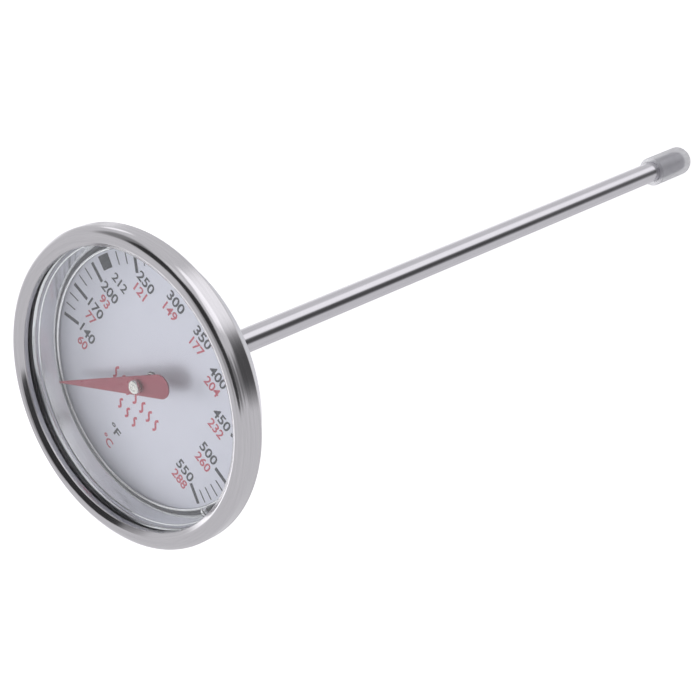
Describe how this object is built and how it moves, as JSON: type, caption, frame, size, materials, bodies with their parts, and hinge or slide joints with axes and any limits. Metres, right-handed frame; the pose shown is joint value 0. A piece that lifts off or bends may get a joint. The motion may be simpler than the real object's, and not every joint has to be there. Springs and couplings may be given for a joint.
{
  "type": "dial thermometer",
  "caption": "Bimetal dial thermometer for grills: glazed round dial in a rolled steel bezel, red pointer, long thin probe stem and a push-on cap on its tip.",
  "frame": {"origin": "centre of the bezel's rear face, on the stem's axis", "axes": "+Y along the stem, away from the dial; the dial faces -Y; +Z towards the dial's twelve o'clock; +X towards its three o'clock"},
  "size_m": [0.046, 0.1421, 0.046],
  "materials": {
    "bezel_steel": "satin rolled stainless steel with a fine grain",
    "case_steel": "bright drawn stainless steel",
    "stem_steel": "bright drawn stainless steel tube",
    "nut_steel": "machined stainless steel",
    "spring_steel": "spring steel",
    "lens_glass": "clear flat glass",
    "gasket_silicone": "dark silicone",
    "dial_face": "matt silver-white coated aluminium with black and red print",
    "pointer_red": "satin red paint",
    "hub_nickel": "nickel-plated brass",
    "guide_brass": "turned brass",
    "bimetal_strip": "rolled bimetal strip",
    "cap_vinyl": "translucent soft vinyl"
  },
  "bodies": {
    "head": {"bezel_ring": "bezel_steel", "lens": "lens_glass", "lens_gasket": "gasket_silicone", "case_cup": "case_steel", "dial_plate": "dial_face", "dial_retaining_ring": "case_steel", "friction_washer": "spring_steel"},
    "stem": {"stem_tube": "stem_steel", "stem_collar": "stem_steel", "calibration_nut": "nut_steel", "upper_guide": "guide_brass", "middle_guide": "guide_brass", "lower_guide": "guide_brass", "tip_plug": "stem_steel", "bimetal_coil": "bimetal_strip"},
    "movement": {"pointer": "pointer_red", "pointer_hub": "hub_nickel", "spindle": "spring_steel", "coil_collar": "hub_nickel"},
    "cap": {"tip_cap": "cap_vinyl"}
  },
  "joints": [
    {"name": "calibration_turn", "type": "hinge", "parent": "head", "child": "stem", "pos_m": [0, 0.0045, 0], "axis": [0, 1, 0], "range_deg": [-20, 20]},
    {"name": "pointer_turn", "type": "hinge", "parent": "stem", "child": "movement", "pos_m": [0, 0.003, 0], "axis": [0, 1, 0], "range_deg": [-40, 266], "stiffness_Nm_per_rad": 0.0002, "deforming": ["bimetal_coil"]},
    {"name": "cap_pull", "type": "slide", "parent": "stem", "child": "cap", "axis": [0, 1, 0], "range_m": [0, 0.012]}
  ]
}
